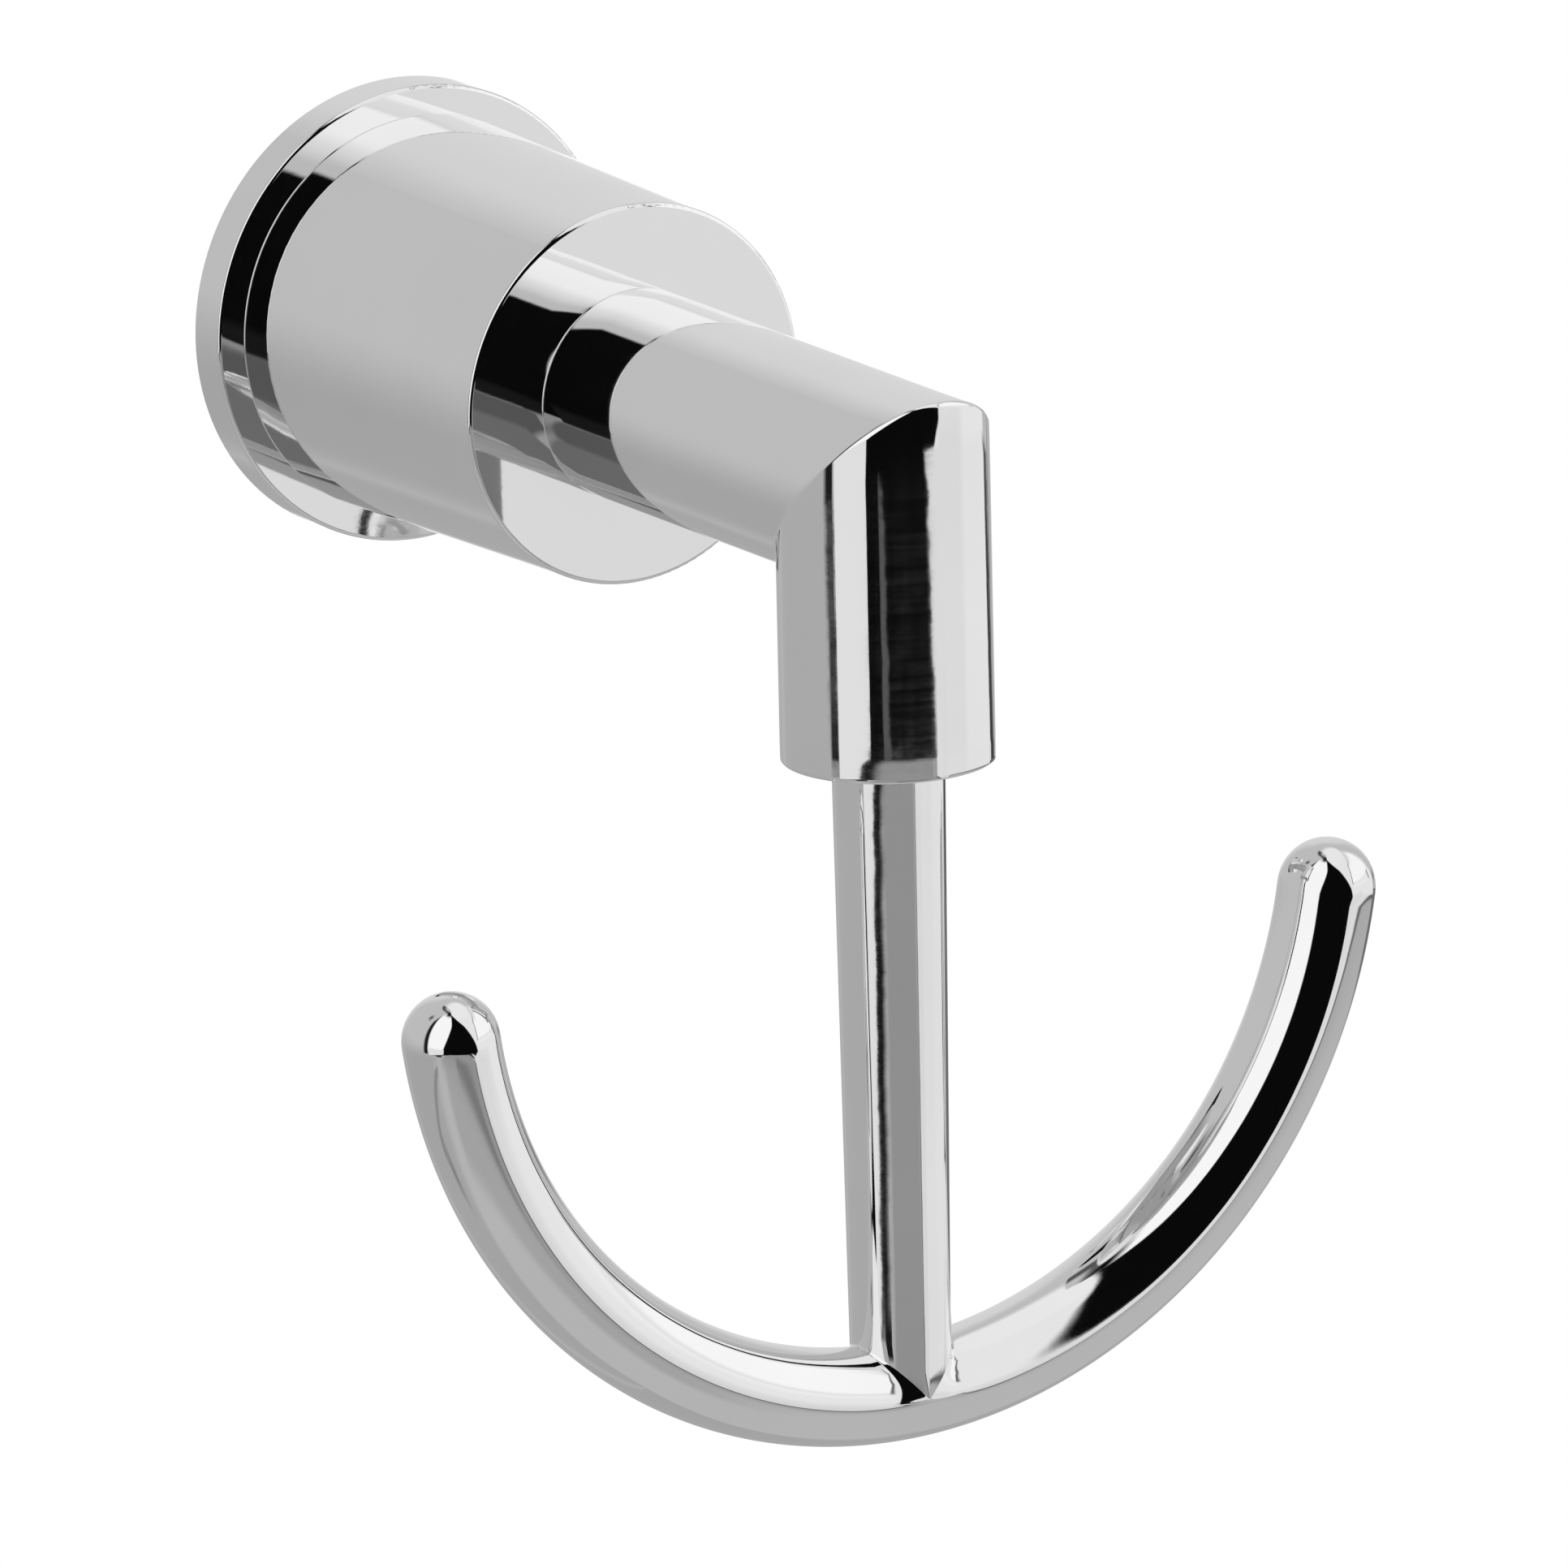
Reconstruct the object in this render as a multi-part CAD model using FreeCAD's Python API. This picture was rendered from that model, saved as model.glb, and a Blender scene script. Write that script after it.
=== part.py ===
import FreeCAD, Part
import math
import os
from FreeCAD import Vector

# Double robe hook for a wall, in millimetres.
# The wall is the plane y = 0 and the hook stands out of it along -Y.
# The origin is the centre of the wall side, on the axis of the post, and +Z is up.
# A turned profile is a list of corners: (radius, distance along the axis, rounding of that corner).

# Wall flange; it stands out past the foot of the post by its overhang
flange_overhang = 2.85
flange_thickness = 4.1
flange_rim_rounding = 0.35
flange_land_width = 2.2
flange_recess_depth = 1.3

# Post
post_base_diameter = 37.8
post_front_diameter = 36.1
post_length = 37.9
post_side_wall = 3.8
post_front_wall = 6.0
post_front_rounding = 0.4
post_base_rounding = 0.15
post_inner_rounding = 1.5
post_spigot_wall = 1.8
post_spigot_length = 2.5
post_spigot_clearance = 0.1

# Arm and leg of the mitred elbow; buffing has relieved the leg a little above its rim
arm_diameter = 20.0
arm_length = 42.6
arm_base_rounding = 0.15
leg_drop = 25.6
leg_rim_rounding = 0.2
leg_end_relief = 0.015
leg_end_relief_length = 2.2
leg_end_relief_rounding = 60.0
arm_spigot_diameter = 14.0
arm_spigot_across_flats = 12.0
arm_spigot_length = 2.2
arm_spigot_clearance = 0.1

# Double hook: the stem and the round bar bent to an arc, with one end a little longer
# The foot of the stem lies inside the bar by its inset, so their blend runs out at the front
stem_top_diameter = 10.6
stem_foot_inset = 0.05
stem_seat_depth = 2.0
stem_seat_clearance = 0.08
stem_top_rounding = 0.3
hook_drop = 86.0
hook_radius = 48.4
hook_bar_diameter = 9.2
hook_left_sweep_degrees = 81.5
hook_right_sweep_degrees = 80.4
stem_joint_rounding = 0.5

# Wall bracket inside the post
bracket_side_clearance = 0.4
bracket_depth = 13.0
bracket_floor = 3.0
bracket_wall = 3.0
bracket_groove_depth = 1.4
bracket_mouth_rounding = 0.6
wall_hole_spacing = 13.0
wall_hole_diameter = 4.6
wall_hole_countersink_diameter = 8.4

# Set screw that locks the post to the bracket from below
set_screw_diameter = 5.0
set_screw_from_wall = 9.0
set_screw_sink = 0.6
set_screw_tip_radius = 0.5
set_screw_tip_clearance = 0.1
set_screw_socket_across_flats = 2.5
set_screw_socket_depth = 2.0

# Screw that clamps the arm to the post, with its spring washer
arm_screw_diameter = 6.0
arm_screw_thread_depth = 11.0
arm_screw_hole_clearance = 0.25
arm_screw_head_diameter = 10.0
arm_screw_head_height = 6.0
arm_screw_head_rounding = 0.5
arm_screw_socket_across_flats = 5.0
arm_screw_socket_depth = 3.2
washer_outer_diameter = 11.0
washer_thickness = 1.6
washer_gap = 1.0
washer_gap_tilt_degrees = 20.0

# Threaded stud between the leg and the stem of the double hook
stud_diameter = 6.0
stud_depth_in_leg = 9.0
stud_depth_in_stem = 10.0
stud_socket_across_flats = 3.0
stud_socket_depth = 3.0

# Threads are plain cylinders with this radial clearance
thread_clearance = 0.05
thread_end_chamfer = 0.6
blind_hole_spare = 1.5

# Places worked out from the sizes above
out_of_wall = Vector(0, -1, 0)
down = Vector(0, 0, -1)
up = Vector(0, 0, 1)
post_front = flange_thickness + post_length
elbow = Vector(0, -(post_front + arm_length), 0)
arm_radius = arm_diameter / 2
mitre_overrun = arm_diameter
flange_radius = post_base_diameter / 2 + flange_overhang
post_inside_front = post_front - post_front_wall
post_spigot_end = flange_thickness - post_spigot_length
cavity_back_radius = post_base_diameter / 2 - post_side_wall
cavity_front_radius = post_front_diameter / 2 - post_side_wall
cavity_draft = (cavity_back_radius - cavity_front_radius) / (post_inside_front - post_spigot_end)
cavity_radius_at_bracket = cavity_back_radius - cavity_draft * (bracket_depth - post_spigot_end)
cavity_narrowest_radius = min(cavity_back_radius, cavity_radius_at_bracket)
bracket_radius = cavity_narrowest_radius - bracket_side_clearance
spigot_radius = cavity_back_radius + post_spigot_wall
groove_radius = bracket_radius - bracket_groove_depth
arm_spigot_recess = arm_spigot_length + arm_spigot_clearance
stem_top = leg_drop - stem_seat_depth + stem_seat_clearance
stem_foot_radius = hook_bar_diameter / 2 - stem_foot_inset


def corner_edges(before, corner, after, rounding):
    """Return the two tangent points of one rounded corner and its arc."""
    to_before = (before - corner).normalize()
    to_after = (after - corner).normalize()
    half_angle = to_before.getAngle(to_after) / 2
    start = corner + to_before * (rounding / math.tan(half_angle))
    end = corner + to_after * (rounding / math.tan(half_angle))
    inward = (to_before + to_after).normalize()
    middle = corner + inward * (rounding / math.sin(half_angle) - rounding)
    return start, end, Part.Arc(start, middle, end).toShape()


def turned(corners, base=Vector(0, 0, 0), axis=out_of_wall):
    """Revolve a closed profile of (radius, distance, rounding) corners about an axis."""
    points = [Vector(radius, 0, distance) for radius, distance, rounding in corners]
    starts = []
    ends = []
    arcs = []
    for index, (radius, distance, rounding) in enumerate(corners):
        point = points[index]
        if rounding > 0:
            before = points[index - 1]
            after = points[(index + 1) % len(points)]
            start, end, arc = corner_edges(before, point, after, rounding)
            starts.append(start)
            ends.append(end)
            arcs.append(arc)
        else:
            starts.append(point)
            ends.append(point)
            arcs.append(None)
    edges = []
    for index, arc in enumerate(arcs):
        if arc:
            edges.append(arc)
        following = starts[(index + 1) % len(starts)]
        edges.append(Part.LineSegment(ends[index], following).toShape())
    face = Part.Face(Part.Wire(edges))
    solid = face.revolve(Vector(0, 0, 0), Vector(0, 0, 1), 360)
    solid.Placement = FreeCAD.Placement(base, FreeCAD.Rotation(Vector(0, 0, 1), axis))
    return solid


def rod(radius, length, base, axis):
    """Return a plain round rod."""
    return Part.makeCylinder(radius, length, base, axis)


def hex_socket(across_flats, depth, base, axis):
    """Return the six-sided prism that a key socket takes out of a screw."""
    corner_radius = across_flats / math.sqrt(3)
    corners = []
    for side in range(7):
        angle = math.radians(60 * side)
        corners.append(Vector(corner_radius * math.cos(angle), corner_radius * math.sin(angle), 0))
    prism = Part.Face(Part.makePolygon(corners)).extrude(Vector(0, 0, depth))
    prism.Placement = FreeCAD.Placement(base, FreeCAD.Rotation(Vector(0, 0, 1), axis))
    return prism


def double_flat(diameter, across_flats, length, base):
    """Return a round boss with a flat at the top and one below, standing out of the wall side."""
    boss = rod(diameter / 2, length, base, out_of_wall)
    slab_corner = base + Vector(-diameter, -length, -across_flats / 2)
    slab = Part.makeBox(2 * diameter, length, across_flats, slab_corner)
    return boss.common(slab)


def post_radius_at(distance):
    """Return the outside radius of the tapered post at a distance from the wall."""
    share = (distance - flange_thickness) / post_length
    return (post_base_diameter + (post_front_diameter - post_base_diameter) * share) / 2


def wall_flange():
    """Round cover plate, hollowed at the back so that only its rim meets the wall."""
    bore = spigot_radius + post_spigot_clearance
    recess = flange_radius - flange_land_width
    return turned([
        (bore, flange_recess_depth, 0),
        (recess, flange_recess_depth, 0),
        (recess, 0, 0),
        (flange_radius, 0, 0),
        (flange_radius, flange_thickness, flange_rim_rounding),
        (bore, flange_thickness, 0),
    ])


def post():
    """Tapered barrel, open at the wall side, with a spigot that centres it in the flange."""
    shell = turned([
        (cavity_back_radius, post_spigot_end, 0),
        (spigot_radius, post_spigot_end, 0),
        (spigot_radius, flange_thickness, 0),
        (post_base_diameter / 2, flange_thickness, post_base_rounding),
        (post_front_diameter / 2, post_front, post_front_rounding),
        (0, post_front, 0),
        (0, post_inside_front, 0),
        (cavity_front_radius, post_inside_front, post_inner_rounding),
    ])
    recess_base = Vector(0, -(post_front - arm_spigot_recess), 0)
    recess_diameter = arm_spigot_diameter + 2 * arm_spigot_clearance
    recess_flats = arm_spigot_across_flats + 2 * arm_spigot_clearance
    recess = double_flat(recess_diameter, recess_flats, arm_spigot_recess, recess_base)
    screw_hole = rod(arm_screw_diameter / 2 + arm_screw_hole_clearance, post_front, Vector(0, 0, 0), out_of_wall)
    lock_hole = rod(set_screw_diameter / 2, post_base_diameter, Vector(0, -set_screw_from_wall, 0), down)
    return shell.cut(recess).cut(screw_hole).cut(lock_hole)


def wall_bracket():
    """Cup that is screwed to the wall; the set screw bites into the groove around it."""
    inner = bracket_radius - bracket_wall
    cup = turned([
        (0, 0, 0),
        (bracket_radius, 0, 0),
        (bracket_radius, set_screw_from_wall - bracket_groove_depth, 0),
        (groove_radius, set_screw_from_wall, 0),
        (bracket_radius, set_screw_from_wall + bracket_groove_depth, 0),
        (bracket_radius, bracket_depth, bracket_mouth_rounding),
        (inner, bracket_depth, bracket_mouth_rounding),
        (inner, bracket_floor, 0),
        (0, bracket_floor, 0),
    ])
    hole_radius = wall_hole_diameter / 2
    sink_radius = wall_hole_countersink_diameter / 2
    sink_depth = sink_radius - hole_radius
    for side in (-1, 1):
        place = Vector(side * wall_hole_spacing / 2, 0, 0)
        hole = rod(hole_radius, bracket_floor, place, out_of_wall)
        sink_base = place + out_of_wall * (bracket_floor - sink_depth)
        sink = Part.makeCone(hole_radius, sink_radius, sink_depth, sink_base, out_of_wall)
        cup = cup.cut(hole).cut(sink)
    return cup


def set_screw():
    """Headless screw with a cone point in the bracket's groove and its key socket below."""
    radius = set_screw_diameter / 2 - thread_clearance
    cone_apex = groove_radius + set_screw_tip_clearance
    lower_end = post_radius_at(set_screw_from_wall) - set_screw_sink
    base = Vector(0, -set_screw_from_wall, 0)
    body = turned([
        (0, cone_apex + set_screw_tip_radius, 0),
        (set_screw_tip_radius, cone_apex + set_screw_tip_radius, 0),
        (radius, cone_apex + radius, 0),
        (radius, lower_end, 0),
        (0, lower_end, 0),
    ], base, down)
    key = hex_socket(set_screw_socket_across_flats, set_screw_socket_depth, base + down * lower_end, up)
    return body.cut(key)


def arm_screw():
    """Socket head screw that passes from inside the post into the arm."""
    under_head = post_inside_front - washer_thickness
    head_top = under_head - arm_screw_head_height
    end = post_front - arm_spigot_length + arm_screw_thread_depth
    shank = arm_screw_diameter / 2 - thread_clearance
    body = turned([
        (0, head_top, 0),
        (arm_screw_head_diameter / 2, head_top, arm_screw_head_rounding),
        (arm_screw_head_diameter / 2, under_head, 0),
        (shank, under_head, 0),
        (shank, end - thread_end_chamfer, 0),
        (shank - thread_end_chamfer, end, 0),
        (0, end, 0),
    ])
    key = hex_socket(arm_screw_socket_across_flats, arm_screw_socket_depth, out_of_wall * head_top, out_of_wall)
    return body.cut(key)


def spring_washer():
    """Split ring between the screw head and the front wall of the post."""
    bore = arm_screw_diameter / 2 + arm_screw_hole_clearance
    outer = washer_outer_diameter / 2
    start = post_inside_front - washer_thickness
    ring = turned([
        (bore, start, 0),
        (outer, start, 0),
        (outer, post_inside_front, 0),
        (bore, post_inside_front, 0),
    ])
    slit_height = 2 * washer_thickness
    slit = Part.makeBox(washer_gap, slit_height, outer, Vector(-washer_gap / 2, -slit_height / 2, 0))
    slit.rotate(Vector(0, 0, 0), Vector(0, 0, 1), washer_gap_tilt_degrees)
    slit.translate(out_of_wall * (start + washer_thickness / 2))
    return ring.cut(slit)


def mitre_wedge(side):
    """Prism on one side of the 45 degree plane where the arm meets the leg."""
    reach = 2 * arm_diameter
    outer = elbow + Vector(-reach, -reach, reach)
    inner = elbow + Vector(-reach, reach, -reach)
    third = elbow + Vector(-reach, side * reach, side * reach)
    face = Part.Face(Part.makePolygon([outer, inner, third, outer]))
    return face.extrude(Vector(2 * reach, 0, 0))


def elbow_arm():
    """Round bar out of the post, mitred to a short leg that carries the double hook."""
    arm_base = out_of_wall * post_front
    arm_end = arm_length + mitre_overrun
    arm = turned([
        (0, 0, 0),
        (arm_radius, 0, arm_base_rounding),
        (arm_radius, arm_end, 0),
        (0, arm_end, 0),
    ], arm_base)
    leg = turned([
        (0, -mitre_overrun, 0),
        (arm_radius, -mitre_overrun, 0),
        (arm_radius, leg_drop - leg_end_relief_length, leg_end_relief_rounding),
        (arm_radius - leg_end_relief, leg_drop, leg_rim_rounding),
        (0, leg_drop, 0),
    ], elbow, down)
    bend = arm.cut(mitre_wedge(-1)).fuse(leg.cut(mitre_wedge(1)))
    spigot_base = arm_base - out_of_wall * arm_spigot_length
    spigot = double_flat(arm_spigot_diameter, arm_spigot_across_flats, arm_spigot_length, spigot_base)
    screw_depth = arm_screw_thread_depth + blind_hole_spare
    screw_hole = rod(arm_screw_diameter / 2, screw_depth, spigot_base, out_of_wall)
    seat_top = elbow + down * (leg_drop - stem_seat_depth)
    seat = rod(stem_top_diameter / 2 + stem_seat_clearance, stem_seat_depth, seat_top, down)
    stud_hole = rod(stud_diameter / 2, stud_depth_in_leg + blind_hole_spare, seat_top, up)
    return bend.fuse(spigot).cut(screw_hole).cut(seat).cut(stud_hole).removeSplitter()


def hook_stud():
    """Headless threaded stud that holds the stem of the double hook in the leg."""
    joint = elbow + down * (leg_drop - stem_seat_depth)
    radius = stud_diameter / 2 - thread_clearance
    end = stud_depth_in_stem
    body = turned([
        (0, -stud_depth_in_leg, 0),
        (radius - thread_end_chamfer, -stud_depth_in_leg, 0),
        (radius, thread_end_chamfer - stud_depth_in_leg, 0),
        (radius, end - thread_end_chamfer, 0),
        (radius - thread_end_chamfer, end, 0),
        (0, end, 0),
    ], joint, down)
    return body.cut(hex_socket(stud_socket_across_flats, stud_socket_depth, joint + down * end, up))


def hook_bar():
    """Round bar bent to an arc below the stem, with a ball end at each tip."""
    centre = elbow + down * (hook_drop - hook_radius)
    bar_radius = hook_bar_diameter / 2
    tips = []
    for sweep_degrees in (hook_right_sweep_degrees, -hook_left_sweep_degrees):
        sweep = math.radians(sweep_degrees)
        tips.append(centre + Vector(math.sin(sweep), 0, -math.cos(sweep)) * hook_radius)
    right_sweep = math.radians(hook_right_sweep_degrees)
    tangent = Vector(math.cos(right_sweep), 0, math.sin(right_sweep))
    ring = Part.Circle(tips[0], tangent, bar_radius).toShape()
    bar_sweep_degrees = hook_left_sweep_degrees + hook_right_sweep_degrees
    bar = Part.Face(Part.Wire(ring)).revolve(centre, Vector(0, 1, 0), bar_sweep_degrees)
    for tip in tips:
        bar = bar.fuse(Part.makeSphere(bar_radius, tip))
    return bar


def joint_edges(shape):
    """Return the edges all round the stem where its foot runs into the bar."""
    found = []
    for edge in shape.Edges:
        box = edge.BoundBox
        beside_the_stem = max(box.XMax, -box.XMin) < hook_bar_diameter
        above_the_foot = box.ZMax > hook_bar_diameter - hook_drop
        if beside_the_stem and not above_the_foot:
            found.append(edge)
    return found


def double_hook():
    """Tapered stem that seats in the leg, one casting with the bent bar."""
    top_radius = stem_top_diameter / 2
    stem = turned([
        (0, stem_top, 0),
        (top_radius, stem_top, stem_top_rounding),
        (top_radius, leg_drop, 0),
        (stem_foot_radius, hook_drop, 0),
        (0, hook_drop, 0),
    ], elbow, down)
    hole_depth = stud_depth_in_stem + blind_hole_spare
    stud_hole = rod(stud_diameter / 2, hole_depth, elbow + down * (leg_drop - stem_seat_depth), down)
    joined = stem.fuse(hook_bar()).removeSplitter()
    blended = joined.makeFillet(stem_joint_rounding, joint_edges(joined))
    return blended.cut(stud_hole)


pieces = {
    "wall_flange": wall_flange(),
    "post": post(),
    "wall_bracket": wall_bracket(),
    "set_screw": set_screw(),
    "arm_screw": arm_screw(),
    "spring_washer": spring_washer(),
    "elbow_arm": elbow_arm(),
    "hook_stud": hook_stud(),
    "double_hook": double_hook(),
}

os.makedirs("parts", exist_ok=True)
for name, shape in pieces.items():
    print(name, shape.isValid(), len(shape.Solids), round(shape.Volume, 1))
    shape.exportStep("parts/" + name + ".step")
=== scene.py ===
import bmesh
import bpy
import math
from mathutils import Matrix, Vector


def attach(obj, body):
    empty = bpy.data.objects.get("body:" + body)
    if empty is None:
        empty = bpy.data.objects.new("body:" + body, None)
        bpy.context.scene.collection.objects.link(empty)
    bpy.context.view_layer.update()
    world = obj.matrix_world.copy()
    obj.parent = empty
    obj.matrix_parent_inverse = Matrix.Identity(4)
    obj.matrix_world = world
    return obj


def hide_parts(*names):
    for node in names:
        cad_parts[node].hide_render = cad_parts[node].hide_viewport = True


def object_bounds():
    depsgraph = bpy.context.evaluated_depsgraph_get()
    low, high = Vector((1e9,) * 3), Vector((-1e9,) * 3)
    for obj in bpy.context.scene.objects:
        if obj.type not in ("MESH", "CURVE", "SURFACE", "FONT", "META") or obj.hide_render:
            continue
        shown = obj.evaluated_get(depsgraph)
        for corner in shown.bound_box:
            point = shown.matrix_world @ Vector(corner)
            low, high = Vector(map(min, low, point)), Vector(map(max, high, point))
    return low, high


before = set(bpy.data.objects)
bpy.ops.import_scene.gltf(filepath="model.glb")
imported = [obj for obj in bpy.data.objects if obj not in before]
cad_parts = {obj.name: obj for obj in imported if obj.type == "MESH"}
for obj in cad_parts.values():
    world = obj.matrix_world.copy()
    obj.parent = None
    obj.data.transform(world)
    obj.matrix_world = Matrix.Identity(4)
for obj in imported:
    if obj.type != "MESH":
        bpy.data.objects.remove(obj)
cad_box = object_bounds()

# Double robe hook of polished chrome, photographed in a light tent.
# Lengths are in metres. The wall is the plane y = 0 and the hook stands out of it along -Y.
# Directions are given as an azimuth from straight out of the wall towards +X and an elevation.

# Camera
elbow = Vector((0, -0.0846, 0))
camera_azimuth = math.radians(-32.263)
camera_elevation = math.radians(15.019)
camera_roll = math.radians(1.210)
camera_distance = 3.5088
aim_right = -0.009656
aim_up = -0.027022
sensor_width = 36.0
picture_width = 1932
picture_scale = 13454.5
nearest_seen = 0.1

# Floor
floor_drop = 0.22
floor_reach = 30.0

# Metals
# Grey is the darkest and lightest grey of the blots. Waves and grain are cells in a metre and a
# depth. Lines are the cells in a metre across and along fine scratches. Shine is the roughness
# where the metal is shiniest and dullest.
metals = {
    "chrome": {
        "grey": (0.825, 0.855),
        "waves": (115, 0.000014),
        "grain": (800, 0.0000008),
        "lines": (2600, 90),
        "shine": (0.015, 0.05),
    },
    "cast_zinc": {
        "grey": (0.34, 0.52),
        "waves": (260, 0.00008),
        "grain": (2400, 0.00009),
        "lines": (1500, 400),
        "shine": (0.42, 0.62),
    },
    "screw_steel": {
        "grey": (0.56, 0.74),
        "waves": (500, 0.00002),
        "grain": (3000, 0.00001),
        "lines": (5000, 150),
        "shine": (0.16, 0.34),
    },
}
chrome_grey = 0.84
metal_tint = (1.0, 1.0, 1.006)
blots_in_metre = 55
blot_detail = 5
line_detail = 2
line_share = 0.35
wave_detail = 2
grain_detail = 3
noise_low = 0.3
noise_high = 0.7

# Sizes of the elbow in millimetres, the same as in its solid, and its soft crease
mm = 0.001
weld_distance = 0.0005
sharp_angle = math.radians(30)
post_front = 42.0
arm_reach = 84.6
arm_radius = 10.0
arm_base_rounding = 0.15
spigot_length = 2.2
spigot_radius = 7.0
spigot_half_flats = 6.0
screw_hole_radius = 3.0
screw_hole_depth = 12.5
leg_drop = 25.6
leg_relief = 0.015
leg_relief_length = 2.2
leg_relief_bend = 0.41
leg_rim_rounding = 0.2
seat_radius = 5.38
seat_depth = 2.0
stud_hole_depth = 10.5
crease_radius = 0.45
crease_waver = 0.3
crease_waves = 7

# Sizes of the double hook in millimetres, and the blend between its stem and its bar
stem_top_radius = 5.3
stem_top_rounding = 0.3
stem_top_drop = 23.68
stem_hole_end = 35.1
hook_drop = 86.0
hook_radius = 48.4
bar_radius = 4.6
left_sweep = math.radians(81.5)
right_sweep = math.radians(80.4)
stem_swell = 0.2
blend_at_sides = 0.3
blend_half_width = 2.85
blend_sharpness = 6
soft_reach = 6.5
soft_height = 1.5
soft_passes = 12
soft_factor = 0.5
swell_fades_below = math.radians(55)
bezier_handle = 0.5523

# Points along and around the meshes
elbow_turns = 144
arm_base_steps = 4
arm_steps = 12
crease_steps = 12
leg_steps = 8
relief_steps = 8
rim_steps = 6
hook_rows = 72
dome_steps = 12
bar_steps = 64
blend_steps = 14
foot_steps = 8
stem_steps = 28
stem_top_steps = 3

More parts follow.
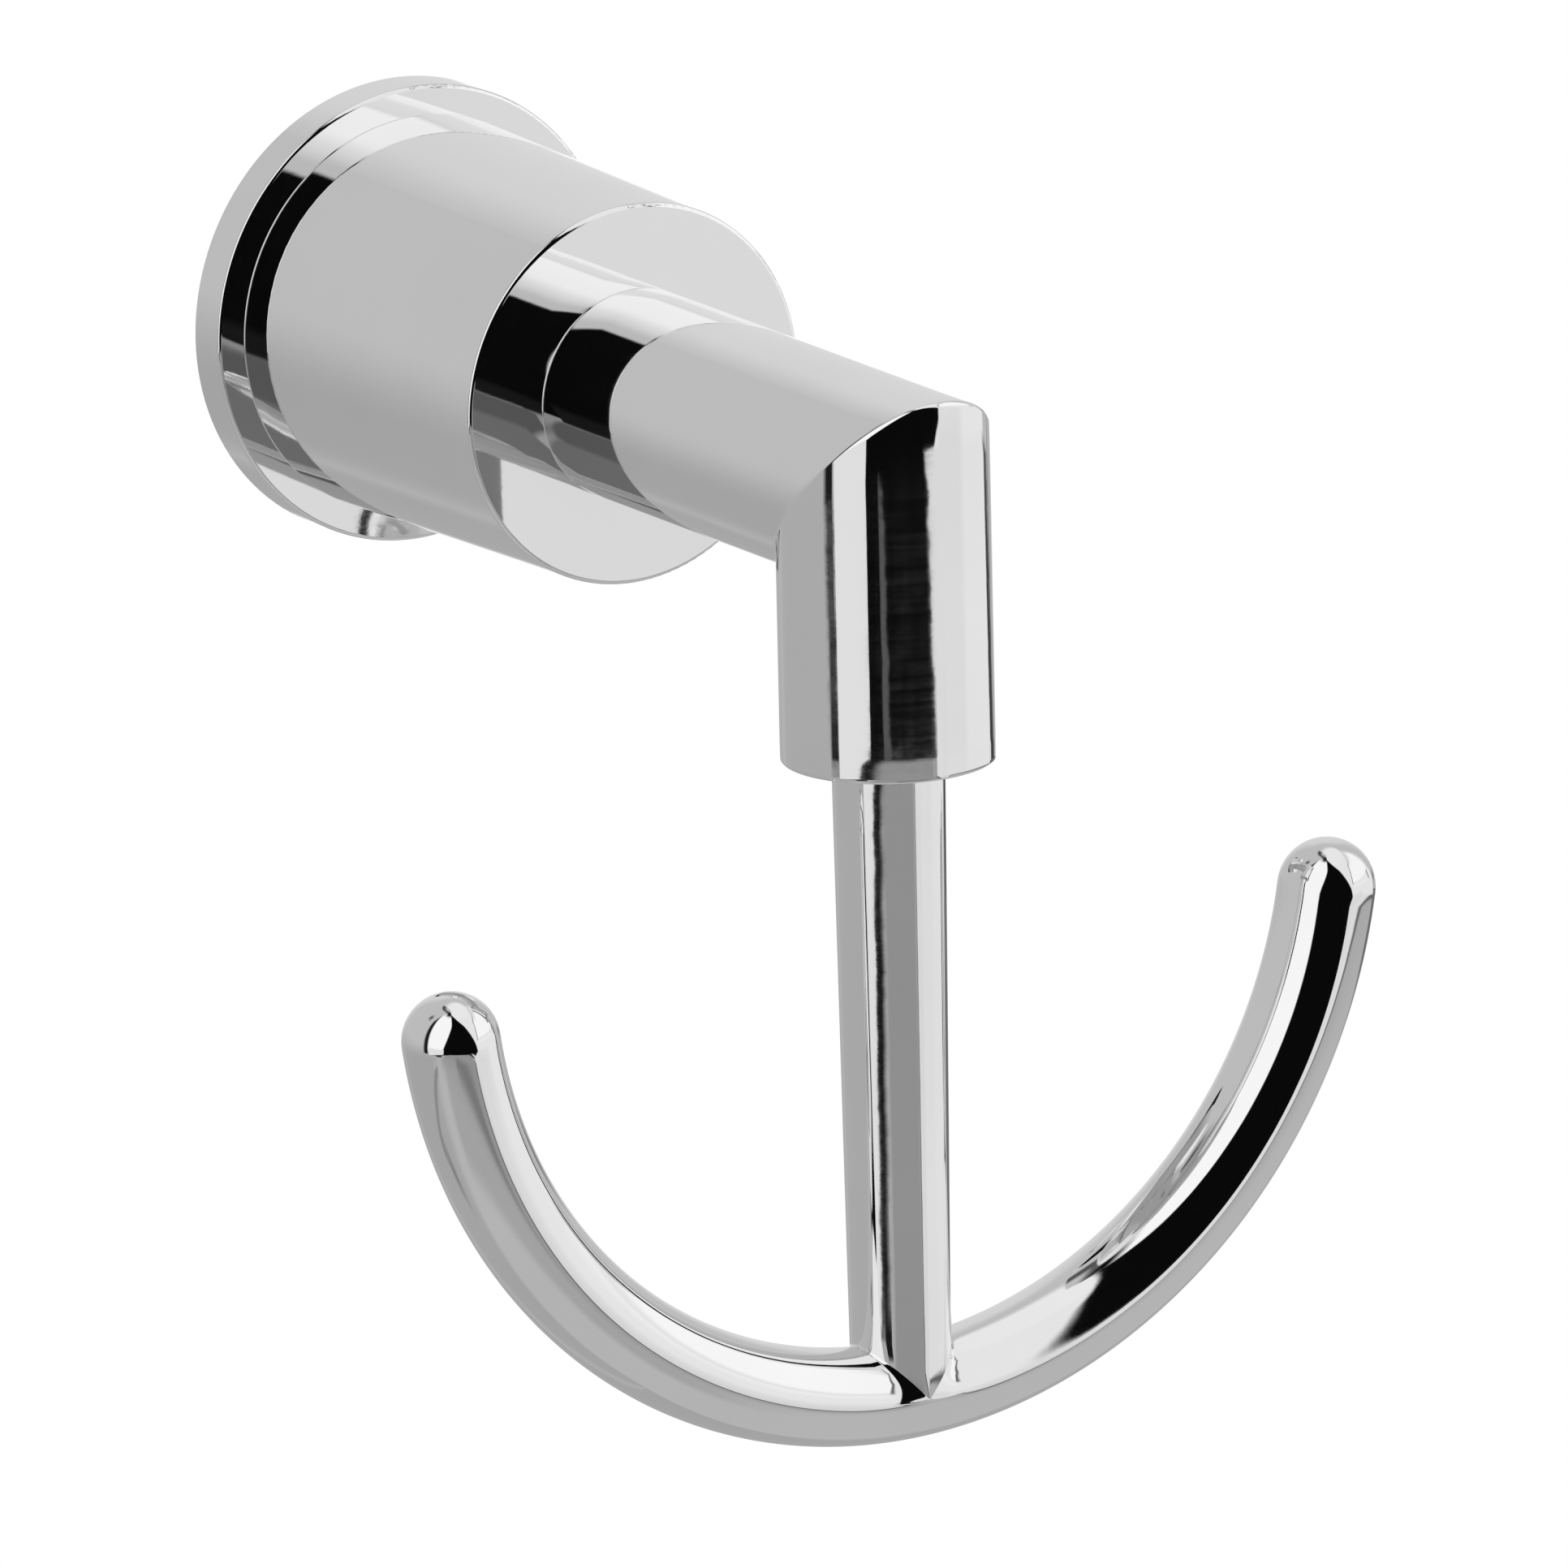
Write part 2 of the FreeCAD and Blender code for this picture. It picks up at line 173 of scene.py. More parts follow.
# Light tent around the hook, painted in order: name, brightness from 0 to 255, corners.
# A corner is an azimuth, an elevation and the softness of the edge that follows, in degrees.
# Corners run anticlockwise with azimuth to the right and elevation up, and every card is convex.
tent_brightness = 187
tent = [
    ("lower back", 162, [(-181, -100, 9), (181, -100, 9), (181, -10, 14), (-181, -10, 14)]),
    ("back, right", 208, [(128, -10, 6), (172, -10, 14), (172, 46, 10), (128, 46, 10)]),
    ("table", 178, [(-112, -100, 8), (118, -100, 8), (118, -22, 8), (-70, -22, 10)]),
    ("table, near", 161, [(-58, -44, 6), (26, -44, 6), (30, -22, 4), (-50, -22, 6)]),
    ("line on the table", 118, [
        (-120, -43.2, 1.5), (-70, -29.2, 1.5), (-70, -27.5, 1.5), (-120, -41.5, 1.5),
    ]),
    ("blot on the table", 126, [(-117, -50, 5), (-106, -50, 5), (-106, -41, 5), (-117, -41, 5)]),
    ("table edge", 143, [(-58, -25, 7), (36, -25, 6), (33, -15.35, 0.35), (-45, -15.35, 2.5)]),
    ("table shade", 118, [(-24, -25, 2.5), (18, -25, 3), (12, -20, 2), (-24, -20, 4)]),
    ("seam on the table", 90, [(17, -14.5, 0.7), (25, -23.2, 0.7), (36, -24, 1), (36, -14.5, 1)]),
    ("seam under the light", 90, [
        (33, -18.6, 0.5), (113.5, -18.6, 0.6), (113.5, -14, 0.6), (33, -14, 1),
    ]),
    ("light on the table", 211, [
        (19, -14.3, 0.5), (26.6, -21.8, 0.6), (34.5, -22.4, 0.8), (38, -14.3, 1),
    ]),
    ("light under the wall", 220, [
        (33, -17.6, 0.5), (112, -17.6, 0.6), (112, -14, 1), (33, -14, 1),
    ]),
    ("right wall", 228, [(17, -15.4, 2), (102, -15.4, 2), (102, 70, 8), (-40, 70, 3)]),
    ("foot of the right wall", 214, [(28, -15.6, 2), (60, -15.6, 5), (60, -11, 5), (28, -11, 4)]),
    ("seam on the wall", 95, [
        (31.2, 8, 3), (99, 8, 3), (99, 59, 8), (60, 51.5, 0.7), (44, 44.5, 0.7), (34.2, 26, 0.7),
    ]),
    ("right light", 245, [
        (32.6, 6, 8), (98, 6, 4), (98, 58, 10), (60, 50, 0.7), (45.2, 43, 0.7), (35.8, 25, 0.7),
    ]),
    ("roof", 231, [(-28, 60, 3), (128, 60, 8), (181, 78, 6), (181, 100, 6), (-60, 100, 3)]),
    ("smudge on the wall", 150, [(85, 1, 1.5), (90, 1, 1.5), (90, 12, 3), (85, 12, 1.5)]),
    ("right back edge, low", 104, [
        (105, -22, 1), (130, -22, 2), (130, -15.4, 0.3), (105, -15.4, 1),
    ]),
    ("right back edge", 62, [
        (110, -15.5, 0.1), (123, -15.5, 0.3), (106.5, -14.2, 0.5), (99.5, -14.2, 0.08),
    ]),
    ("smudge at the back", 125, [(107, -8, 3), (118, -8, 3), (118, -2, 3), (107, -2, 3)]),
    ("backdrop", 255, [(127, -20, 6), (153, -20, 4), (153, -8, 5), (127, -8, 6)]),
    ("roof seam, left", 80, [(-181, 68, 2), (-110, 80.5, 1), (-110, 86, 3), (-181, 77, 2)]),
    ("roof seam, right", 80, [(-110, 80, 2), (-28, 78, 3), (-28, 86, 3), (-110, 86, 1)]),
    ("blot on the roof", 92, [(-124, 47, 4), (-112, 47, 4), (-112, 57, 4), (-124, 57, 4)]),
    ("left edge", 27, [
        (-98.3, -14.75, 0.15), (-88.5, -14.75, 0.8), (-88.5, 72, 3), (-98.3, 50, 3),
    ]),
    ("left edge, low", 26, [
        (-95.5, -15.6, 0.4), (-85.8, -15.6, 0.8), (-85.8, -14.75, 0.15), (-95.5, -14.75, 2),
    ]),
    ("opening for the camera", 9, [
        (-64, -15.4, 0.35), (20, -15.4, 0.3), (30, -12, 1), (21, 16, 2), (10, 45, 2),
        (0, 58, 2.5), (-12, 70, 3), (-25, 78, 3), (-64, 86, 3),
    ]),
    ("wall beside the opening", 216, [
        (19.6, -14.97, 0.1), (33, -15.2, 1), (33, -14.1, 0.2), (11.6, -14.3, 0.07),
    ]),
    ("left light", 246, [
        (-86.5, -8, 4), (-53, -8, 1.5), (-30, 50, 2.5), (-30, 72, 5), (-86.5, 74, 2),
    ]),
    ("left light, low", 222, [
        (-86, -17.4, 0.15), (-71, -16.5, 0.15), (-51.3, -15, 0.5), (-50, -5, 2), (-88.5, -3, 0.8),
    ]),
    ("dark stand", 22, [
        (-64, -17.3, 0.5), (-36, -15.2, 0.3), (-50, -14.9, 0.15), (-81, -17.3, 0.5),
    ]),
    ("dark stand, low", 24, [
        (-66, -19.6, 0.6), (-55, -19.6, 0.6), (-56, -17, 0.2), (-71, -17, 0.2),
    ]),
    ("grey post", 86, [
        (-36.3, -15.1, 0.1), (-28.43, -15.1, 0.04), (-34, -14.58, 0.04),
        (-37.8, -14.46, 0.1), (-38.5, -14.6, 0.2),
    ]),
]

# What chrome mirrored in chrome shows instead, as bright as it looks after both reflections
tent_seen_twice = [
    ("dark below the opening", 22, [
        (-44, -18, 1.5), (-31, -18, 0.8), (-26, -10, 2), (-44, -10, 2),
    ]),
    ("table, left", 82, [
        (-38, -28, 2), (-20, -32, 2), (-17, -27, 2),
        (-21, -20, 1.5), (-28, -17, 0.8), (-38, -18.7, 0.8),
    ]),
    ("table, middle", 101, [(-25, -42, 3), (11, -42, 1.5), (11, -29, 1.5), (-21, -25.5, 2)]),
    ("table, dark", 78, [(11, -38, 1.5), (15.5, -38, 1.5), (15.5, -29, 1.5), (11, -29, 1.5)]),
    ("table, right", 140, [(15.5, -38, 1.5), (31, -30, 2), (31, -19, 1.5), (15.5, -27, 1.5)]),
    ("foot of the wall", 112, [
        (38, -17.5, 0.8), (115, -17.5, 0.8), (115, -12.5, 0.8), (38, -12.5, 0.8),
    ]),
    ("wall, low", 226, [(27, -12, 1.5), (42, -12, 2), (42, 3, 2), (27, 3, 2)]),
    ("wall, middle", 213, [(24, 4, 2), (42, 4, 2), (42, 19, 2), (24, 19, 2)]),
    ("roof, far", 184, [(-6.5, 24, 2), (28, 14, 2), (42, 14, 2), (42, 45, 3), (-6.5, 45, 1.2)]),
    ("roof, middle", 211, [(3, 20, 3), (28, 14, 3), (42, 17, 3), (42, 45, 3), (3, 45, 5)]),
    ("roof, near", 234, [(12, 17, 3), (28, 14, 3), (42, 18, 3), (42, 45, 3), (12, 45, 6)]),
]

# The world counts a ray that left one mirror as 2 deep, and one that left two as 3 deep
deepest_after_one_mirror = 2.5

# Zones that the tent is painted in, so that each ray meets few cards
zone_azimuths = (-180, -98, -60, -22, 24, 64, 102, 180)
zone_elevations = (-90, -19, -10, 24, 90)


def inside(first, second):
    """Return the weights that turn azimuth, elevation and 1 into the distance inside an edge."""
    along_a = second[0] - first[0]
    along_e = second[1] - first[1]
    length = math.hypot(along_a, along_e)
    weights = Vector((-along_e / length, along_a / length, 0))
    weights.z = -(weights.x * first[0] + weights.y * first[1])
    return weights


def soft_edge(tree, place, weights, softness):
    """Return a socket that rises smoothly from 0 to 1 across an edge."""
    distance = tree.nodes.new("ShaderNodeVectorMath")
    distance.operation = "DOT_PRODUCT"
    distance.inputs[1].default_value = weights
    tree.links.new(place, distance.inputs[0])
    step = tree.nodes.new("ShaderNodeMapRange")
    step.interpolation_type = "SMOOTHSTEP"
    step.inputs["From Min"].default_value = -softness
    step.inputs["From Max"].default_value = softness
    tree.links.new(distance.outputs["Value"], step.inputs["Value"])
    return step.outputs["Result"]


def maths(tree, operation, *inputs):
    """Return the result of one maths node; an input is a socket or a number."""
    node = tree.nodes.new("ShaderNodeMath")
    node.operation = operation
    for socket, value in zip(node.inputs, inputs):
        if isinstance(value, (int, float)):
            socket.default_value = value
        else:
            tree.links.new(value, socket)
    return node.outputs["Value"]


def linear(brightness):
    """Return the linear light of a screen brightness from 0 to 255."""
    share = brightness / 255
    if share <= 0.04045:
        return share / 12.92
    return ((share + 0.055) / 1.055) ** 2.4


def painted(tree, place, zone, light, cards, reflections):
    """Return the light in one zone of the tent, a socket or a number, with cards painted over it.

    A card that leaves the zone alone is skipped, and so is each edge that does not cross it.
    """
    zone_corners = [Vector((a, e, 1)) for a in zone[0] for e in zone[1]]
    for name, brightness, corners in cards:
        edges = []
        for index, corner in enumerate(corners):
            weights = inside(corner, corners[(index + 1) % len(corners)])
            depths = [weights.dot(zone_corner) for zone_corner in zone_corners]
            edges.append((min(depths), max(depths), weights, corner[2]))
        if any(deepest <= -softness for least, deepest, weights, softness in edges):
            continue
        mask = None
        for least, deepest, weights, softness in edges:
            if least < softness:
                edge = soft_edge(tree, place, weights, softness)
                mask = edge if mask is None else maths(tree, "MULTIPLY", mask, edge)
        strength = linear(brightness) / chrome_grey ** reflections
        if mask is None:
            light = strength
            continue
        mix = tree.nodes.new("ShaderNodeMix")
        mix.label = name
        mix.inputs["B"].default_value = strength
        tree.links.new(mask, mix.inputs["Factor"])
        if isinstance(light, float):
            mix.inputs["A"].default_value = light
        else:
            tree.links.new(light, mix.inputs["A"])
        light = mix.outputs["Result"]
    return light


def background(tree, light):
    """Return a background shader of some strength, a socket or a number."""
    shader = tree.nodes.new("ShaderNodeBackground")
    shader.inputs["Color"].default_value = (1, 1, 1, 1)
    if isinstance(light, float):
        shader.inputs["Strength"].default_value = light
    else:
        tree.links.new(light, shader.inputs["Strength"])
    return shader.outputs[0]


def chosen(tree, choice, shader_at_0, shader_at_1):
    """Return one of two shaders, by a choice of 0 or 1."""
    mix = tree.nodes.new("ShaderNodeMixShader")
    tree.links.new(choice, mix.inputs[0])
    tree.links.new(shader_at_0, mix.inputs[1])
    tree.links.new(shader_at_1, mix.inputs[2])
    return mix.outputs[0]


def zone_group(zone):
    """Return a node group with the light of one zone of the tent."""
    tree = bpy.data.node_groups.new("zone", "ShaderNodeTree")
    tree.interface.new_socket("Place", in_out="INPUT", socket_type="NodeSocketVector")
    tree.interface.new_socket("Seen Twice", in_out="INPUT", socket_type="NodeSocketFloat")
    tree.interface.new_socket("Light", in_out="OUTPUT", socket_type="NodeSocketShader")
    place, seen_twice = tree.nodes.new("NodeGroupInput").outputs[:2]
    empty = linear(tent_brightness) / chrome_grey
    light = painted(tree, place, zone, empty, tent, 1)
    shader = background(tree, light)
    mirrored_light = painted(tree, place, zone, light, tent_seen_twice, 2)
    if mirrored_light is not light:
        shader = chosen(tree, seen_twice, shader, background(tree, mirrored_light))
    tree.links.new(shader, tree.nodes.new("NodeGroupOutput").inputs["Light"])
    return tree


def light_tent():
    """Make the world: a light tent in the chrome, plain white behind the object."""
    world = bpy.data.worlds.new("light_tent")
    world.use_nodes = True
    world.cycles.sampling_method = "NONE"
    tree = world.node_tree
    tree.nodes.clear()
    direction = tree.nodes.new("ShaderNodeTexCoord").outputs["Generated"]
    parts = tree.nodes.new("ShaderNodeSeparateXYZ")
    tree.links.new(direction, parts.inputs[0])
    x, y, z = parts.outputs
    degree = math.degrees(1)
    out = maths(tree, "MULTIPLY", y, -1)
    azimuth = maths(tree, "MULTIPLY", maths(tree, "ARCTAN2", x, out), degree)
    elevation = maths(tree, "MULTIPLY", maths(tree, "ARCSINE", z), degree)
    place = tree.nodes.new("ShaderNodeCombineXYZ")
    tree.links.new(azimuth, place.inputs["X"])
    tree.links.new(elevation, place.inputs["Y"])
    place.inputs["Z"].default_value = 1
    path = tree.nodes.new("ShaderNodeLightPath")
    seen_twice = maths(tree, "GREATER_THAN", path.outputs["Ray Depth"], deepest_after_one_mirror)
    above = [maths(tree, "GREATER_THAN", elevation, border) for border in zone_elevations[1:-1]]
    reflected = None
    for left, right in zip(zone_azimuths, zone_azimuths[1:]):
        column = None
        for index, rows in enumerate(zip(zone_elevations, zone_elevations[1:])):
            zone = tree.nodes.new("ShaderNodeGroup")
            zone.node_tree = zone_group(((left, right), rows))
            tree.links.new(place.outputs[0], zone.inputs["Place"])
            tree.links.new(seen_twice, zone.inputs["Seen Twice"])
            shader = zone.outputs["Light"]
            column = shader if column is None else chosen(tree, above[index - 1], column, shader)
        if reflected is None:
            reflected = column
        else:
            reflected = chosen(tree, maths(tree, "GREATER_THAN", azimuth, left), reflected, column)
    output = tree.nodes.new("ShaderNodeOutputWorld")
    shown = chosen(tree, path.outputs["Is Camera Ray"], reflected, background(tree, 1.0))
    tree.links.new(shown, output.inputs["Surface"])
    bpy.context.scene.world = world


def camera():
    """Set the camera at the photograph's viewing angle."""
    right = Vector((math.cos(camera_azimuth), math.sin(camera_azimuth), 0))
    back = Vector((
        math.sin(camera_azimuth) * math.cos(camera_elevation),
        -math.cos(camera_azimuth) * math.cos(camera_elevation),
        math.sin(camera_elevation),
    ))
    up = back.cross(right)
    turned_right = right * math.cos(camera_roll) - up * math.sin(camera_roll)
    turned_up = right * math.sin(camera_roll) + up * math.cos(camera_roll)
    data = bpy.data.cameras.new("camera")
    data.sensor_width = sensor_width
    data.lens = picture_scale * camera_distance / picture_width * sensor_width
    data.clip_start = nearest_seen
    data.clip_end = 2 * floor_reach
    seen_from = bpy.data.objects.new("camera", data)
    turn = seen_from.matrix_world.to_3x3()
    for row in range(3):
        turn[row] = (turned_right[row], turned_up[row], back[row])
    placed = turn.to_4x4()
    placed.translation = elbow + right * aim_right + up * aim_up + back * camera_distance
    seen_from.matrix_world = placed
    bpy.context.collection.objects.link(seen_from)
    bpy.context.scene.camera = seen_from


def floor():
    """Lay the plain pale floor below the hook."""
    level = cad_box[0].z - floor_drop
    mesh = bpy.data.meshes.new("floor")
    signs = [(-1, -1), (1, -1), (1, 1), (-1, 1)]
    corners = [(x * floor_reach, y * floor_reach, level) for x, y in signs]
    mesh.from_pydata(corners, [], [(0, 1, 2, 3)])
    ground = bpy.data.objects.new("floor", mesh)
    bpy.context.collection.objects.link(ground)
    paint = bpy.data.materials.new("floor_white")
    paint.use_nodes = True
    tree = paint.node_tree
    tree.nodes.clear()
    glow = tree.nodes.new("ShaderNodeEmission")
    output = tree.nodes.new("ShaderNodeOutputMaterial")
    tree.links.new(glow.outputs[0], output.inputs["Surface"])
    mesh.materials.append(paint)
    ground.visible_glossy = False


def sheet(mesh, grid):
    """Add a sheet of four-sided faces through rows of points."""
    rows = [[mesh.verts.new(point) for point in row] for row in grid]
    for first, second in zip(rows, rows[1:]):
        for corners in zip(first, first[1:], second[1:], second):
            mesh.faces.new(corners)


def soften(mesh, middle):
    """Even out the depth of the points round a place on the front or the back of the hook."""
    near = [point for point in mesh.verts if (point.co - middle).length < soft_reach]
    for _ in range(soft_passes):
        bmesh.ops.smooth_vert(mesh, verts=near, factor=soft_factor, use_axis_y=True)


def piece(name, grids, material, stands_for, soft_places=()):
    """Join sheets of points in millimetres into one closed piece that stands for a solid."""
    mesh = bmesh.new()
    for grid in grids:
        sheet(mesh, grid)
    bmesh.ops.remove_doubles(mesh, verts=mesh.verts, dist=weld_distance)
    bmesh.ops.recalc_face_normals(mesh, faces=mesh.faces)
    for middle in soft_places:
        soften(mesh, middle)
    bmesh.ops.scale(mesh, vec=(mm, mm, mm), verts=mesh.verts)
    for face in mesh.faces:
        face.smooth = True
    data = bpy.data.meshes.new(name)
    mesh.to_mesh(data)
    mesh.free()
    data.set_sharp_from_angle(angle=sharp_angle)
    data.materials.append(material)
    made = bpy.data.objects.new(name, data)
    bpy.context.collection.objects.link(made)
    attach(made, "root")
    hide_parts(stands_for)


def steps(first, last, count):
    """Return evenly spaced values from the first to the last, both included."""
    return [first + (last - first) * index / count for index in range(count + 1)]


def on_arm(radius, reach, turn):
    """Return a point round the axis of the arm; the turn starts at the top."""
    return Vector((radius * math.sin(turn), -reach, radius * math.cos(turn)))


def on_leg(radius, drop, turn):
    """Return a point round the axis of the leg; the turn starts at the front."""
    return Vector((radius * math.sin(turn), -arm_reach - radius * math.cos(turn), -drop))


def on_spigot(reach, turn):
    """Return a point of the round spigot with a flat at the top and one below."""
    point = on_arm(spigot_radius, reach, turn)
    point.z = max(-spigot_half_flats, min(spigot_half_flats, point.z))
    return point


def on_crease(turn, bend):
    """Return a point of the soft crease, which bends a quarter turn from the arm to the leg."""
    radius = crease_radius * (1 + crease_waver * math.sin(crease_waves * turn))
    height = arm_radius * math.cos(turn)
    middle = Vector((arm_radius * math.sin(turn), radius - arm_reach - height, height - radius))
    return middle + Vector((0, -math.sin(bend), math.cos(bend))) * radius


def leg_radius(drop):
    """Return the radius of the leg, which buffing has relieved a little above its rim."""
    past = drop - (leg_drop - leg_relief_length - leg_relief_bend / 2)
    slope = leg_relief / leg_relief_length
    if past <= 0:
        return arm_radius
    if past <= leg_relief_bend:
        return arm_radius - slope * past * past / (2 * leg_relief_bend)
    return arm_radius - slope * (past - leg_relief_bend / 2)


def elbow_line(turn):
    """Return the points of one line along the elbow, from inside the arm to inside the leg."""
    quarter = math.pi / 2
    spigot_end = post_front - spigot_length
    hole_end = spigot_end + screw_hole_depth
    line = [
        on_arm(0, hole_end, turn),
        on_arm(screw_hole_radius, hole_end, turn),
        on_arm(screw_hole_radius, spigot_end, turn),
        on_spigot(spigot_end, turn),
        on_spigot(post_front, turn),
    ]
    for bend in steps(0, quarter, arm_base_steps):
        radius = arm_radius - arm_base_rounding * (1 - math.sin(bend))
        line.append(on_arm(radius, post_front + arm_base_rounding * (1 - math.cos(bend)), turn))
    arm_start = line[-1]
    arm_end = on_crease(turn, 0)
    line += [arm_start.lerp(arm_end, share) for share in steps(0, 1, arm_steps)[1:-1]]
    line += [on_crease(turn, bend) for bend in steps(0, quarter, crease_steps)]
    relief_start = leg_drop - leg_relief_length - leg_relief_bend / 2
    leg_start = line[-1]
    leg_end = on_leg(arm_radius, relief_start, turn)
    line += [leg_start.lerp(leg_end, share) for share in steps(0, 1, leg_steps)[1:]]
    rim = leg_drop - leg_rim_rounding
    for drop in steps(relief_start, rim, relief_steps)[1:]:
        line.append(on_leg(leg_radius(drop), drop, turn))
    for bend in steps(0, quarter, rim_steps)[1:]:
        radius = leg_radius(rim) - leg_rim_rounding * (1 - math.cos(bend))
        line.append(on_leg(radius, rim + leg_rim_rounding * math.sin(bend), turn))
    seat_top = leg_drop - seat_depth
    line += [
        on_leg(seat_radius, leg_drop, turn),
        on_leg(seat_radius, seat_top, turn),
        on_leg(screw_hole_radius, seat_top, turn),
        on_leg(screw_hole_radius, seat_top - stud_hole_depth, turn),
        on_leg(0, seat_top - stud_hole_depth, turn),
    ]
    return line


def on_bar(sweep, turn, dome=0.0):
    """Return a point of the bent bar.

    The sweep runs along the bar from its lowest point towards +X, and the turn starts at the
    front and goes up. The dome goes from 0 at the end of the bar to a quarter turn at its tip.
    """
    along = Vector((math.cos(sweep), 0, math.sin(sweep)))
    outward = Vector((math.sin(sweep), 0, -math.cos(sweep)))
    radius = bar_radius * math.cos(dome)
    centre = Vector((0, -arm_reach, hook_radius - hook_drop))
    point = centre + outward * (hook_radius - radius * math.sin(turn))
    point.y -= radius * math.cos(turn)
    return point + along * math.copysign(bar_radius * math.sin(dome), sweep)


def bell(share):
    """Return a smooth rise from 0 at a share of 1 or -1 to 1 at a share of 0."""
    return (1 - min(abs(share), 1) ** 2) ** 2


def on_stem(height, turn):
    """Return a point of the tapered stem on the left half, at a height above the foot.

    The foot is a little deeper than it is wide.
    """
    share = min(height / (hook_drop - leg_drop), 1)
    point = on_leg(bar_radius + (stem_top_radius - bar_radius) * share, hook_drop - height, -turn)
    point.y -= stem_swell * (1 - share) * math.cos(turn)
    return point


def blend_reach(turn):
    """Return how far from the middle a line of the bar leaves it for the stem."""
    rise = max(0, bar_radius * math.sin(turn))
    wide = (rise ** blend_sharpness + blend_half_width ** blend_sharpness) ** (1 / blend_sharpness)
    return wide + blend_at_sides


def blend_starts(turn):
    """Return the sweep at which a line of the bar leaves it for the stem."""
    rise = bar_radius * math.sin(turn)
    return -math.asin(blend_reach(turn) / (hook_radius - rise))


def blend_line(turn):
    """Return the points of the blend on one line, from the bar to the stem."""
    sweep = blend_starts(turn)
    first = on_bar(sweep, turn)
    rise = bar_radius * math.sin(turn)
    corner = hook_radius - math.sqrt((hook_radius - rise) ** 2 - rise ** 2)
    height = corner + blend_at_sides
    last = on_stem(height, turn)
    along_bar = Vector((math.cos(sweep), 0, math.sin(sweep))) * (blend_reach(turn) - rise)
    along_stem = (on_stem(height + 1, turn) - last).normalized() * blend_at_sides
    second = first + along_bar * bezier_handle
    third = last - along_stem * bezier_handle
    line = []
    for share in steps(0, 1, blend_steps):
        rest = 1 - share
        point = (
            first * rest ** 3 + second * 3 * rest ** 2 * share
            + third * 3 * rest * share ** 2 + last * share ** 3
        )
        point.y = first.y + (last.y - first.y) * bell((point.x - last.x) / (first.x - last.x))
        line.append(point)
    return line


def bar_line(turn, tip):
    """Return the points of one line from the tip of the left half of a bar to the blend."""
    quarter = math.pi / 2
    line = [on_bar(-tip, turn, dome) for dome in steps(quarter, 0, dome_steps)]
    sweeps = steps(-tip, blend_starts(turn), bar_steps)[1:]
    return line + [on_bar(sweep, turn) for sweep in sweeps]


def mirrored(line):
    """Return a line on the other side of the plane x = 0."""
    return [Vector((-point.x, point.y, point.z)) for point in line]


def stem_line(turn, start):
    """Return the points of one line up the left half of the stem to its hole for the stud."""
    heights = steps(start, hook_drop - leg_drop, stem_steps)[1:]
    line = [on_stem(height, turn) for height in heights]
    for bend in steps(0, math.pi / 2, stem_top_steps):
        radius = stem_top_radius - stem_top_rounding * (1 - math.cos(bend))
        drop = stem_top_drop + stem_top_rounding * (1 - math.sin(bend))
        line.append(on_leg(radius, drop, -turn))
    line.append(on_leg(screw_hole_radius, stem_top_drop, -turn))
    line.append(on_leg(screw_hole_radius, stem_hole_end, -turn))
    line.append(on_leg(0, stem_hole_end, -turn))
    return line


def gusset(turn):
    """Return the three-sided sheet that fills the point where the creases meet, front or back."""
    grid = []
    edge = blend_line(turn)
    depth = edge[-1].y - edge[0].y
    for index, point in enumerate(edge):
        share_of_bar = 1 - index / (len(edge) - 1)
        row = []
        for share in steps(-1, 1, foot_steps):
            x = -point.x * share
            sag = math.sqrt(hook_radius ** 2 - point.x ** 2) - math.sqrt(hook_radius ** 2 - x ** 2)
            y = edge[0].y + depth * bell(x / edge[0].x)
            row.append(Vector((x, y, point.z + sag * share_of_bar)))
        grid.append(row)
    return grid


def foot_line(turn):
    """Return the points of one line across the foot of the stem, from the left to the right."""
    middle_sweep = blend_starts(-turn)
    depth = blend_line(0)[-1].y - on_bar(0, 0).y
    fade = max(0, 1 - min(turn, math.pi - turn) / swell_fades_below)
    line = []
    for share in steps(-1, 1, foot_steps):
        point = on_bar(-math.asin(math.sin(middle_sweep) * share), -turn)
        point.y += depth * bell(share) * fade * fade * math.cos(turn)
        line.append(point)
    return line


def double_hook_sheets():
    """Return the sheets of the double hook: two upper halves, the lower half and two gussets."""
    turns = [math.pi / 2 * (1 - math.cos(turn)) for turn in steps(0, math.pi, hook_rows)]
    left = []
    right = []
    lower = []
    for turn in turns:
        blend = blend_line(turn)
        rest = blend + stem_line(turn, blend[-1].z + hook_drop)
        left.append(bar_line(turn, left_sweep)[:-1] + rest)
        right.append(mirrored(bar_line(turn, right_sweep)[:-1] + rest))
        right_end = mirrored(bar_line(-turn, right_sweep))[::-1]
        lower.append(bar_line(-turn, left_sweep)[:-1] + foot_line(turn) + right_end[1:])
    return [left, right, lower, gusset(0), gusset(math.pi)]


def noise(tree, place, stretch, detail):
    """Return cloudy noise; the stretch is the number of its cells in a metre along X, Y and Z."""
    scaled = tree.nodes.new("ShaderNodeVectorMath")
    scaled.operation = "MULTIPLY"
    scaled.inputs[1].default_value = stretch
    tree.links.new(place, scaled.inputs[0])
    cloud = tree.nodes.new("ShaderNodeTexNoise")
    cloud.inputs["Scale"].default_value = 1
    cloud.inputs["Detail"].default_value = detail
    tree.links.new(scaled.outputs[0], cloud.inputs["Vector"])
    return cloud.outputs["Fac"]


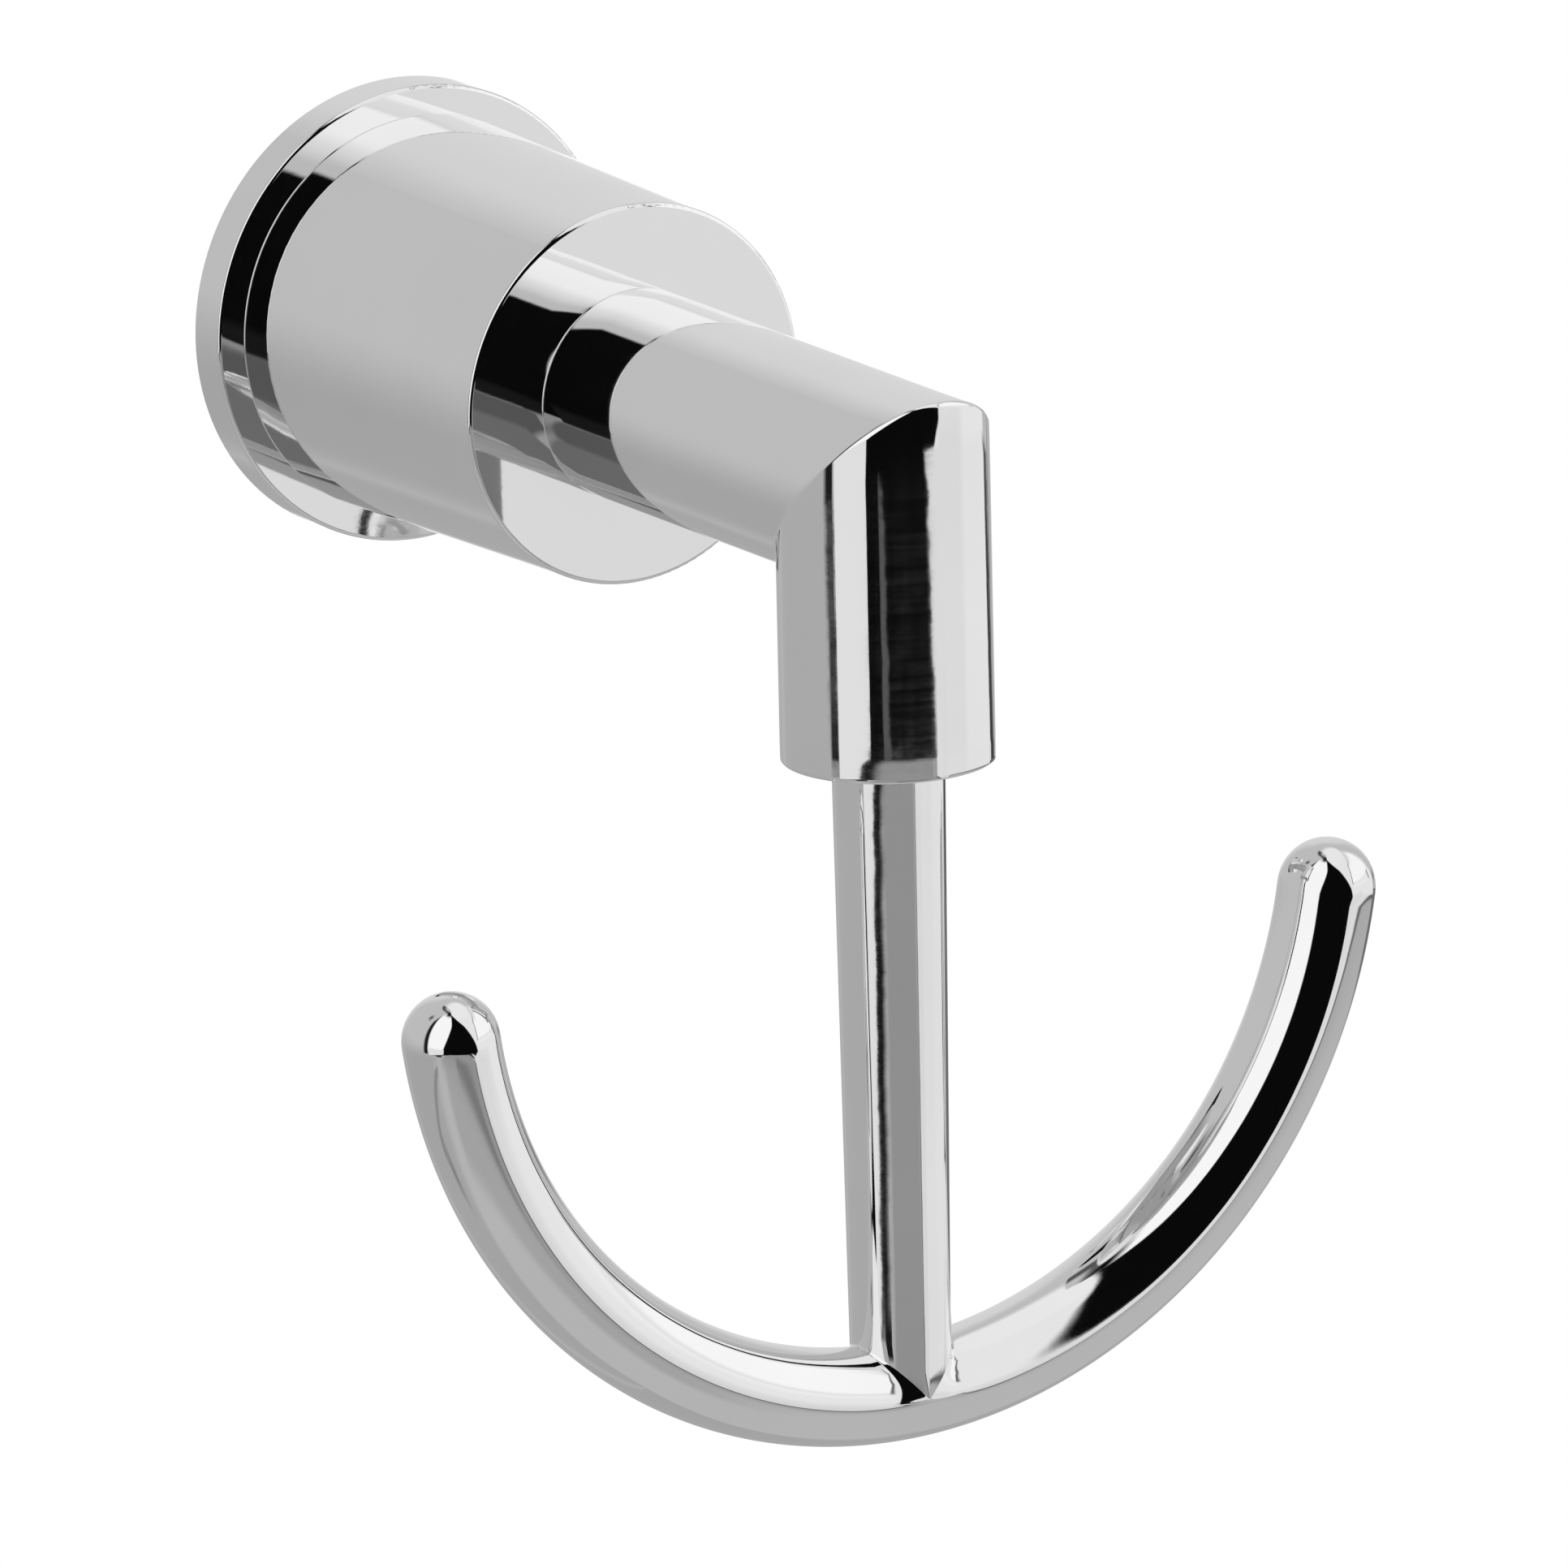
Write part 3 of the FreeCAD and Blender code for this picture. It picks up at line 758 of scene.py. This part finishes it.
def spread(tree, value, low, high):
    """Return noise stretched from the middle of its range to between a low and a high value."""
    stretch = tree.nodes.new("ShaderNodeMapRange")
    stretch.inputs["From Min"].default_value = noise_low
    stretch.inputs["From Max"].default_value = noise_high
    stretch.inputs["To Min"].default_value = low
    stretch.inputs["To Max"].default_value = high
    tree.links.new(value, stretch.inputs["Value"])
    return stretch.outputs["Result"]


def bumped(tree, height, depth, normal=None):
    """Return the normal of a surface with a height of 0 to 1 times a depth in metres."""
    bump = tree.nodes.new("ShaderNodeBump")
    bump.inputs["Distance"].default_value = depth
    tree.links.new(height, bump.inputs["Height"])
    if normal is not None:
        tree.links.new(normal, bump.inputs["Normal"])
    return bump.outputs["Normal"]


def metal(name, grey, waves, grain, lines, shine):
    """Return the material of one of the metals."""
    material = bpy.data.materials.new(name)
    material.use_nodes = True
    tree = material.node_tree
    shader = tree.nodes["Principled BSDF"]
    shader.inputs["Metallic"].default_value = 1
    place = tree.nodes.new("ShaderNodeTexCoord").outputs["Object"]
    blots = noise(tree, place, (blots_in_metre,) * 3, blot_detail)
    tint = tree.nodes.new("ShaderNodeCombineColor")
    for channel, share in zip(tint.inputs, metal_tint):
        tree.links.new(spread(tree, blots, grey[0] * share, grey[1] * share), channel)
    tree.links.new(tint.outputs[0], shader.inputs["Base Color"])
    across, along = lines
    rings = noise(tree, place, (along, across, along), line_detail)
    strokes = noise(tree, place, (along, along, across), line_detail)
    lined = maths(tree, "MULTIPLY", maths(tree, "ADD", rings, strokes), line_share)
    marks = maths(tree, "MULTIPLY_ADD", blots, 1 - 2 * line_share, lined)
    tree.links.new(spread(tree, marks, shine[0], shine[1]), shader.inputs["Roughness"])
    wavy = bumped(tree, noise(tree, place, (waves[0],) * 3, wave_detail), waves[1])
    grainy = bumped(tree, noise(tree, place, (grain[0],) * 3, grain_detail), grain[1], wavy)
    tree.links.new(grainy, shader.inputs["Normal"])
    return material


bpy.context.scene.view_settings.view_transform = "Standard"
light_tent()
camera()
floor()
finishes = {name: metal(name, **values) for name, values in metals.items()}
plate = finishes["chrome"]
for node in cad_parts.values():
    for place in node.material_slots:
        place.material = finishes[place.name]
full_turn = steps(0, 2 * math.pi, elbow_turns)
piece("elbow", [[elbow_line(turn) for turn in full_turn]], plate, "elbow_arm")
soft_z = soft_height - hook_drop
soft_places = [Vector((0, side * bar_radius - arm_reach, soft_z)) for side in (-1, 1)]
piece("stem_and_hooks", double_hook_sheets(), plate, "double_hook", soft_places)
